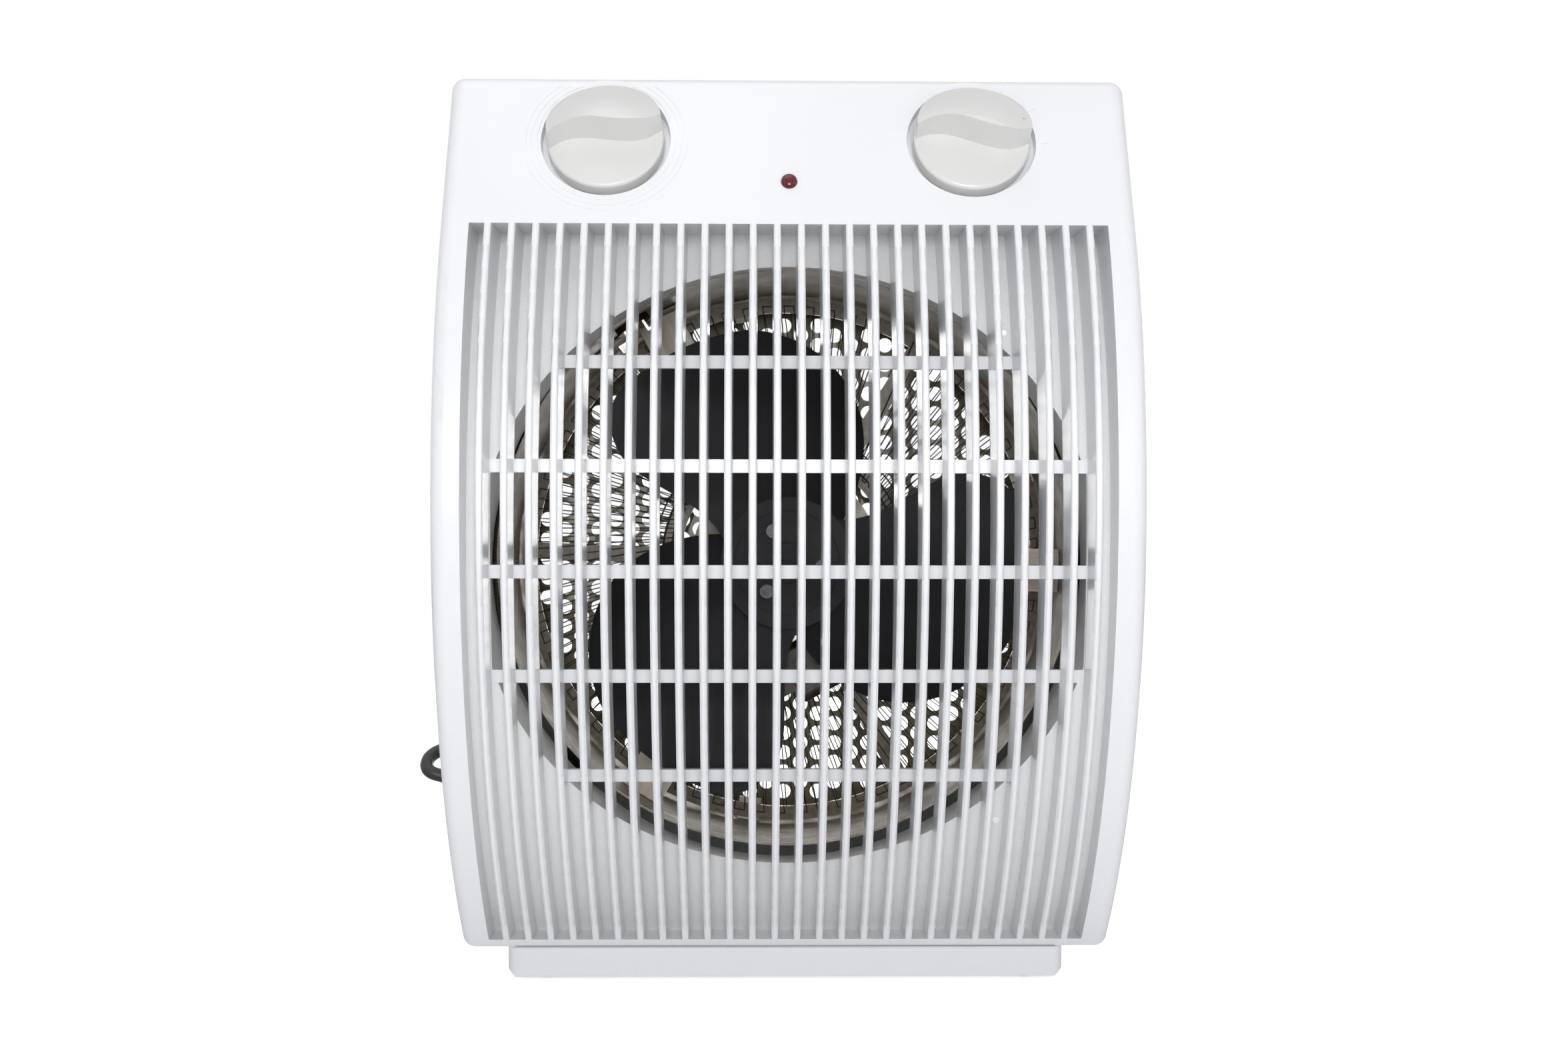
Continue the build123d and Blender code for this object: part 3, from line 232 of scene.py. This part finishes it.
# The coil: an inner helix winds down, steps out along the bottom, and an outer one winds up.
coil_low, coil_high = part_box("cord_coil")
coil_middle = (coil_low + coil_high) / 2
mean_radius = (coil_high.x - coil_low.x) / 2 - 2 * cord_radius
turn_points = 16
polygon_gain = 1.012
layer_spread = 1.02
turn_rise = 1.003
coil_turns = []
down_turns = 3
step_turns = 0.125
total_turns = 2 * down_turns + step_turns
for number in range(int(total_turns * turn_points) + 1):
    turns = number / turn_points
    if turns <= down_turns:
        level, out = 2 * (down_turns - turns) * cord_radius, -1
    elif turns <= down_turns + step_turns:
        level, out = 0, 2 * (turns - down_turns) / step_turns - 1
    else:
        level, out = 2 * (turns - down_turns - step_turns) * cord_radius, 1
    radius = (mean_radius + out * cord_radius * layer_spread) * polygon_gain
    turn_angle = 2 * math.pi * turns
    coil_turns.append(Vector((
        coil_middle.x + radius * math.sin(turn_angle),
        coil_middle.y + radius * math.cos(turn_angle),
        coil_low.z + cord_radius + level * turn_rise,
    )))
route = [Vector(point) * millimetre for point in supply_route]
route += coil_turns + [Vector(point) * millimetre for point in plug_route]
cord_curve = bpy.data.curves.new("mains_lead", "CURVE")
cord_curve.dimensions = "3D"
cord_curve.bevel_depth = cord_radius
cord_curve.bevel_resolution = 6
cord_curve.resolution_u = 8
cord_curve.use_fill_caps = True
spline = cord_curve.splines.new("NURBS")
spline.points.add(len(route) - 1)
for point, position in zip(spline.points, route):
    point.co = (*position, 1.0)
spline.order_u = 3
spline.use_endpoint_u = True
cord_curve.materials.append(black_pvc)
cord = bpy.data.objects.new("mains_lead", cord_curve)
bpy.context.scene.collection.objects.link(cord)
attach(cord, "housing")
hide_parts("supply_cord", "cord_coil", "plug_lead")
wear(black_pvc, "strain_relief", "plug_body", "cord_tie")

# Plug pins: nickel-plated brass, bright with fine draw marks along their length.
nickel, tree, shader = new_material("nickel_plated_brass")
place = add(tree, "ShaderNodeTexCoord")
drawn = add(tree, "ShaderNodeMapping", {"Vector": place.outputs["Object"],
                                        "Scale": (60.0, 2200.0, 2200.0)})
marks = add(tree, "ShaderNodeTexNoise", {"Vector": drawn.outputs[0], "Scale": 1.0})
roughen(shader, marks.outputs["Fac"], 0.16, 0.34)
shader.inputs["Base Color"].default_value = linear("#D9D4C8")
shader.inputs["Metallic"].default_value = 1.0
wear(nickel, "plug_pins")


# ---- Casing ----
# Two halves moulded in white ABS. The outside is polished; the recess floor between the ribs
# carries a fine spark-eroded texture that takes the shine off it, and a little painted shade.
recess_half_width = 0.1010
recess_top = 0.2498
floor_radius = 0.1960
floor_depth = 0.0125
floor_center_z = 0.155
floor_center_y = casing_low.y + floor_depth + floor_radius
white_abs, tree, shader = new_material("injection_moulded_white_abs")
place = add(tree, "ShaderNodeTexCoord")
axes = add(tree, "ShaderNodeSeparateXYZ", {0: place.outputs["Object"]})
side_plane = add(tree, "ShaderNodeCombineXYZ", {"Y": axes.outputs["Y"], "Z": axes.outputs["Z"]})
to_axis = add(tree, "ShaderNodeVectorMath",
              {0: side_plane.outputs[0], 1: (0, floor_center_y, floor_center_z)},
              operation="DISTANCE")
on_floor = add(tree, "ShaderNodeMath", {0: to_axis.outputs["Value"], 1: floor_radius + 0.0002},
               operation="LESS_THAN")
aside = add(tree, "ShaderNodeMath", {0: axes.outputs["X"]}, operation="ABSOLUTE")
between = add(tree, "ShaderNodeMath", {0: aside.outputs[0], 1: recess_half_width},
              operation="LESS_THAN")
below = add(tree, "ShaderNodeMath", {0: axes.outputs["Z"], 1: recess_top},
            operation="LESS_THAN")
inside = add(tree, "ShaderNodeMath", {0: between.outputs[0], 1: below.outputs[0]},
             operation="MULTIPLY")
textured = add(tree, "ShaderNodeMath", {0: on_floor.outputs[0], 1: inside.outputs[0]},
               operation="MULTIPLY")
# Grain of the eroded texture, 0.5 mm: finer would not show.
grain = speckle(tree, 2000.0, 2.0)
cloud = speckle(tree, 14.0, 3.0)
tone = add(tree, "ShaderNodeMixRGB", {"Fac": cloud.outputs["Fac"], "Color1": linear("#EDEEF1"),
                                      "Color2": linear("#F0F1F3")})
# Recess floor colour: painted shade, a touch darker than the polished outside, mottled by the
# eroded grain.
floor_tone_painted_shade = add(tree, "ShaderNodeMixRGB", {"Fac": grain.outputs["Fac"],
                                            "Color1": linear("#E3E4E4"),
                                            "Color2": linear("#F5F5F4")})
skin = add(tree, "ShaderNodeMixRGB", {"Fac": textured.outputs[0], "Color1": tone.outputs[0],
                                      "Color2": floor_tone_painted_shade.outputs[0]})
tree.links.new(skin.outputs[0], shader.inputs["Base Color"])
roughen(shader, textured.outputs[0], 0.2, 0.55)
height = add(tree, "ShaderNodeMath", {0: grain.outputs["Fac"], 1: textured.outputs[0]},
             operation="MULTIPLY")
relieve(shader, height.outputs[0], 0.35, 0.0003)
shader.inputs["IOR"].default_value = 1.54
wear(white_abs, "front_housing")

# The rear half and the plinth: ABS with a light overall texture, painted darker than the front
# half. That is painted shade of the set-back plinth under the bulging front; the rear half shares
# it.
satin_abs_painted_shade, tree, shader = new_material("textured_white_abs_painted_shade")
grain = speckle(tree, 1700.0, 2.0)
# Painted shade: both greys lie below the front half's ABS.
paint(shader, grain.outputs["Fac"], "#D8D9DC", "#E3E4E6")
relieve(shader, grain.outputs["Fac"], 0.2, 0.0002)
shader.inputs["Roughness"].default_value = 0.42
shader.inputs["IOR"].default_value = 1.54
wear(satin_abs_painted_shade, "rear_housing", "plinth")


# ---- Screws and nuts ----
# Zinc-plated steel: bright, faintly blue, with small stains.
zinc, tree, shader = new_material("zinc_plated_steel")
stain = speckle(tree, 900.0, 3.0)
paint(shader, stain.outputs["Fac"], "#9DA2A6", "#D4D6D8")
roughen(shader, stain.outputs["Fac"], 0.22, 0.42)
shader.inputs["Metallic"].default_value = 1.0
wear(zinc, "casing_screws", "guard_screws", "drum_screws", "bracket_screws",
     "spider_screws", "motor_bolts", "plinth_screws", "control_nuts")

# The fan's own screws are blackened steel.
blackened, tree, shader = new_material("blackened_steel")
oil = speckle(tree, 700.0)
roughen(shader, oil.outputs["Fac"], 0.3, 0.5)
shader.inputs["Base Color"].default_value = linear("#4A4A4D")
shader.inputs["Metallic"].default_value = 1.0
wear(blackened, "fan_hub_screws")


# ---- Inlet guard ----
# Perforated sheet steel, dipped in olive-brown enamel that pulls thin round the hole edges.
# Its dark olive is painted shade: the back of the guard seen dim against the bright light behind.
enamel_painted_shade, tree, shader = new_material("olive_enamel_painted_shade")
pool = speckle(tree, 260.0, 3.0)
# Painted shade: the dark olive greys stand for the guard seen backlit; the mottling is uneven
# enamel.
paint(shader, pool.outputs["Fac"], "#5A5432", "#7A7248")
relieve(shader, pool.outputs["Fac"], 0.2, 0.0003)
shader.inputs["Roughness"].default_value = 0.38
shader.inputs["Coat Weight"].default_value = 0.3
wear(enamel_painted_shade, "inlet_guard")


# ---- Duct drum, spider and brackets ----
# Rolled galvanised sheet, handled and scratched: warm grey with streaks round the drum.
drum_low, drum_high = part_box("duct_drum")
drum_center = (drum_low + drum_high) / 2
galvanised, tree, shader = new_material("galvanised_steel_sheet")
place = add(tree, "ShaderNodeTexCoord")
axes = add(tree, "ShaderNodeSeparateXYZ", {0: place.outputs["Object"]})
rise = add(tree, "ShaderNodeMath", {0: axes.outputs["Z"], 1: drum_center.z},
           operation="SUBTRACT")
angle = add(tree, "ShaderNodeMath", {0: rise.outputs[0], 1: axes.outputs["X"]},
            operation="ARCTAN2")
arc_length = add(tree, "ShaderNodeMath", {0: angle.outputs[0],
                                          1: (drum_high.x - drum_low.x) / 2},
                 operation="MULTIPLY")
unrolled = add(tree, "ShaderNodeCombineXYZ", {"X": arc_length.outputs[0],
                                              "Y": axes.outputs["Y"]})
# Zinc spangles about 6 mm across, and rub marks 0.5 mm wide and 15 mm long.
spangle = add(tree, "ShaderNodeTexVoronoi", {"Vector": unrolled.outputs[0], "Scale": 170.0})
streaked = add(tree, "ShaderNodeMapping", {"Vector": unrolled.outputs[0],
                                           "Scale": (60.0, 1400.0, 1.0)})
rub = add(tree, "ShaderNodeTexNoise", {"Vector": streaked.outputs[0], "Scale": 1.0,
                                       "Detail": 5.0, "Roughness": 0.65})
blotch = add(tree, "ShaderNodeTexNoise", {"Vector": unrolled.outputs[0], "Scale": 70.0,
                                          "Detail": 6.0, "Roughness": 0.7})
worn = add(tree, "ShaderNodeMath", {0: rub.outputs["Fac"], 1: blotch.outputs["Fac"]},
           operation="MULTIPLY")
tone = add(tree, "ShaderNodeValToRGB", {"Fac": worn.outputs[0]})
tone.color_ramp.elements[0].position = 0.15
tone.color_ramp.elements[0].color = linear("#A79D8F")
tone.color_ramp.elements[1].position = 0.36
tone.color_ramp.elements[1].color = linear("#E2DACD")
crystal = add(tree, "ShaderNodeMapRange", {"Value": spangle.outputs["Color"], "To Min": 0.38,
                                           "To Max": 0.62})
patches = add(tree, "ShaderNodeMixRGB", {"Fac": 0.6, "Color1": tone.outputs[0],
                                         "Color2": crystal.outputs[0]},
              blend_type="OVERLAY")
tree.links.new(patches.outputs[0], shader.inputs["Base Color"])
rough = add(tree, "ShaderNodeMapRange", {"Value": worn.outputs[0], "From Min": 0.1,
                                         "From Max": 0.45, "To Min": 0.6, "To Max": 0.4})
tree.links.new(rough.outputs[0], shader.inputs["Roughness"])
relieve(shader, worn.outputs[0], 0.25, 0.0003)
# White rust dulls the sheet, and only where it is rubbed does the bare metal show.
bare = add(tree, "ShaderNodeMapRange", {"Value": worn.outputs[0], "From Min": 0.1,
                                        "From Max": 0.45, "To Min": 0.1, "To Max": 0.4})
tree.links.new(bare.outputs[0], shader.inputs["Metallic"])
wear(galvanised, "duct_drum", "drum_brackets", "motor_spider", "motor_end_bracket",
     "heater_clips")


# ---- Fan ----
# Three-bladed rotor in black heat-proof plastic, satin, with faint flow lines from moulding.
fan_plastic, tree, shader = new_material("satin_black_pps")
flow = speckle(tree, 90.0, 5.0)
paint(shader, flow.outputs["Fac"], "#161619", "#1F1F23")
roughen(shader, flow.outputs["Fac"], 0.5, 0.7)
shader.inputs["IOR"].default_value = 1.6
shader.inputs["Specular IOR Level"].default_value = 0.3
wear(fan_plastic, "fan_rotor")

# Flange and shafts: turned and ground metal.
turned, tree, shader = new_material("turned_aluminium")
place = add(tree, "ShaderNodeTexCoord")
rings = add(tree, "ShaderNodeTexWave", {"Vector": place.outputs["Object"], "Scale": 900.0,
                                        "Distortion": 1.0}, wave_type="RINGS",
            rings_direction="Y")
roughen(shader, rings.outputs["Fac"], 0.22, 0.38)
shader.inputs["Base Color"].default_value = linear("#C9C9CB")
shader.inputs["Metallic"].default_value = 1.0
wear(turned, "drive_flange", "motor_shaft", "thermostat_shaft", "selector_shaft")


# ---- Motor ----
# Shaded-pole motor: varnished laminations 0.5 mm thick, a taped winding, bronze bearings.
sheet_thickness = 0.0005
laminated, tree, shader = new_material("varnished_core_steel")
place = add(tree, "ShaderNodeTexCoord")
axes = add(tree, "ShaderNodeSeparateXYZ", {0: place.outputs["Object"]})
sheets = add(tree, "ShaderNodeMath", {0: axes.outputs["Y"], 1: math.pi / sheet_thickness},
             operation="MULTIPLY")
edges = add(tree, "ShaderNodeMath", {0: sheets.outputs[0]}, operation="SINE")
tone = add(tree, "ShaderNodeMapRange", {"Value": edges.outputs[0], "From Min": -1.0})
paint(shader, tone.outputs[0], "#3B3735", "#6B6662")
relieve(shader, tone.outputs[0], 0.4, 0.0002)
shader.inputs["Metallic"].default_value = 0.8
shader.inputs["Roughness"].default_value = 0.45
wear(laminated, "motor_stator", "motor_rotor")

winding_tape, tree, shader = new_material("varnished_cotton_tape")
place = add(tree, "ShaderNodeTexCoord")
laps = add(tree, "ShaderNodeTexWave", {"Vector": place.outputs["Object"], "Scale": 90.0,
                                       "Distortion": 0.6}, bands_direction="X")
paint(shader, laps.outputs["Fac"], "#2A211B", "#40342B")
shader.inputs["Roughness"].default_value = 0.35
wear(winding_tape, "motor_coil")

bronze, tree, shader = new_material("sintered_bronze")
pores = speckle(tree, 2500.0)
paint(shader, pores.outputs["Fac"], "#6B5130", "#A98656")
shader.inputs["Metallic"].default_value = 1.0
shader.inputs["Roughness"].default_value = 0.5
wear(bronze, "motor_bearings")


# ---- Heater ----
# Resistance wire strung to and fro across a mica frame, one layer on each face of it. Oxidised
# in use, it is thin, dark and not quite straight.
mica_low, mica_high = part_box("heater_mica_frame")
mica_board, tree, shader = new_material("mica_board")
place = add(tree, "ShaderNodeTexCoord")
flakes = add(tree, "ShaderNodeTexVoronoi", {"Vector": place.outputs["Object"], "Scale": 450.0})
paint(shader, flakes.outputs["Distance"], "#4E4337", "#76694F")
shader.inputs["Roughness"].default_value = 0.3
wear(mica_board, "heater_mica_frame", "cutout_plate")

oxidised, tree, shader = new_material("oxidised_resistance_wire")
scale_marks = speckle(tree, 600.0)
paint(shader, scale_marks.outputs["Fac"], "#2A2521", "#4E463F")
shader.inputs["Metallic"].default_value = 0.7
shader.inputs["Roughness"].default_value = 0.45

wire_radius = 0.00028
wire_inner = 0.0405
wire_outer = 0.0925
wire_folds = 76
wire_lift = 0.0006
ring_lift = 0.0012
ring_radii = (0.0415, 0.0445, 0.0475)
ring_points = 96
waver_degrees = 0.9
wire_curve = bpy.data.curves.new("heater_strands", "CURVE")
wire_curve.dimensions = "3D"
wire_curve.bevel_depth = wire_radius
wire_curve.bevel_resolution = 2
heater_z = (mica_low.z + mica_high.z) / 2
for face_y, lean_angle, start in ((mica_low.y - wire_lift, 9.0, 60.0),
                                  (mica_high.y + wire_lift, 5.0, 62.0)):
    spline = wire_curve.splines.new("POLY")
    corners = []
    for number in range(2 * wire_folds - 3):
        base = start + number * 180.0 / wire_folds
        waver = noise.noise(Vector((number * 0.37, face_y * 900, 0))) * waver_degrees
        near = math.radians(base + waver)
        far = math.radians(base + lean_angle + 0.5 * waver)
        ends = [(wire_inner, near), (wire_outer, far)]
        if number % 2:
            ends.reverse()
        corners += [(radius * math.cos(turn), face_y, heater_z + radius * math.sin(turn))
                    for radius, turn in ends]
    spline.points.add(len(corners) - 1)
    for point, position in zip(spline.points, corners):
        point.co = (*position, 1.0)
# Rings of the same wire hold the strands apart near the inner edge.
for ring_radius in ring_radii:
    spline = wire_curve.splines.new("POLY")
    spline.points.add(ring_points - 1)
    for number, point in enumerate(spline.points):
        turn = 2 * math.pi * number / ring_points
        point.co = (ring_radius * math.cos(turn), mica_low.y - ring_lift,
                    heater_z + ring_radius * math.sin(turn), 1.0)
    spline.use_cyclic_u = True
wire_curve.materials.append(oxidised)
strands = bpy.data.objects.new("heater_strands", wire_curve)
bpy.context.scene.collection.objects.link(strands)
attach(strands, "housing")
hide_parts("heater_wire")


# ---- Thermal cut-out ----
# A phenolic case with tinned brass tabs, let into a window in the drum.
phenolic, tree, shader = new_material("brown_phenolic")
filler = speckle(tree, 800.0)
paint(shader, filler.outputs["Fac"], "#1F1512", "#35241E")
shader.inputs["Roughness"].default_value = 0.4
wear(phenolic, "thermal_cutout", "thermostat_body", "selector_body")

tinned, tree, shader = new_material("tinned_brass")
smear = speckle(tree, 500.0)
roughen(shader, smear.outputs["Fac"], 0.15, 0.35)
shader.inputs["Base Color"].default_value = linear("#D8D5CC")
shader.inputs["Metallic"].default_value = 1.0
wear(tinned, "cutout_terminals")


# ---- Knobs ----
# Urea knobs with an S-shaped grip: warm white, hard and semi-gloss.
knob_urea, tree, shader = new_material("warm_white_urea")
cloud = speckle(tree, 60.0)
paint(shader, cloud.outputs["Fac"], "#DCDCDA", "#E0E0DE")
shader.inputs["Roughness"].default_value = 0.24
shader.inputs["IOR"].default_value = 1.55
wear(knob_urea, "thermostat_knob", "selector_knob")


# ---- Indicator ----
# Dark red transparent lens over a small neon lamp.
red_lens, tree, shader = new_material("dark_red_acrylic")
place = add(tree, "ShaderNodeTexCoord")
facets = add(tree, "ShaderNodeTexVoronoi", {"Vector": place.outputs["Object"],
                                            "Scale": 900.0})
paint(shader, facets.outputs["Distance"], "#8A1020", "#4A0712")
shader.inputs["Roughness"].default_value = 0.1
shader.inputs["IOR"].default_value = 1.49
shader.inputs["Transmission Weight"].default_value = 0.25
wear(red_lens, "indicator_lens")

neon, tree, shader = new_material("neon_lamp_glass")
haze = speckle(tree, 300.0)
paint(shader, haze.outputs["Fac"], "#B8A79B", "#D8CCC2")
shader.inputs["Roughness"].default_value = 0.15
wear(neon, "indicator_lamp")


# ---- Feet, terminal block and inner leads ----
# Black rubber pads; a natural nylon block; leads sleeved in woven glass braid.
foot_rubber, tree, shader = new_material("black_rubber")
bloom = speckle(tree, 400.0)
paint(shader, bloom.outputs["Fac"], "#1B1B1B", "#2E2E2D")
shader.inputs["Roughness"].default_value = 0.75
wear(foot_rubber, "rubber_feet")

nylon, tree, shader = new_material("natural_nylon")
milky = speckle(tree, 200.0)
paint(shader, milky.outputs["Fac"], "#DDDCD2", "#ECEBE3")
shader.inputs["Roughness"].default_value = 0.45
wear(nylon, "terminal_block")

glass_braid, tree, shader = new_material("glass_braid_sleeve")
place = add(tree, "ShaderNodeTexCoord")
weave = add(tree, "ShaderNodeTexChecker", {"Vector": place.outputs["Object"], "Scale": 1600.0,
                                           "Color1": linear("#C9C2B4"),
                                           "Color2": linear("#A79F90")})
tree.links.new(weave.outputs["Color"], shader.inputs["Base Color"])
shader.inputs["Roughness"].default_value = 0.7
wear(glass_braid, "internal_leads")
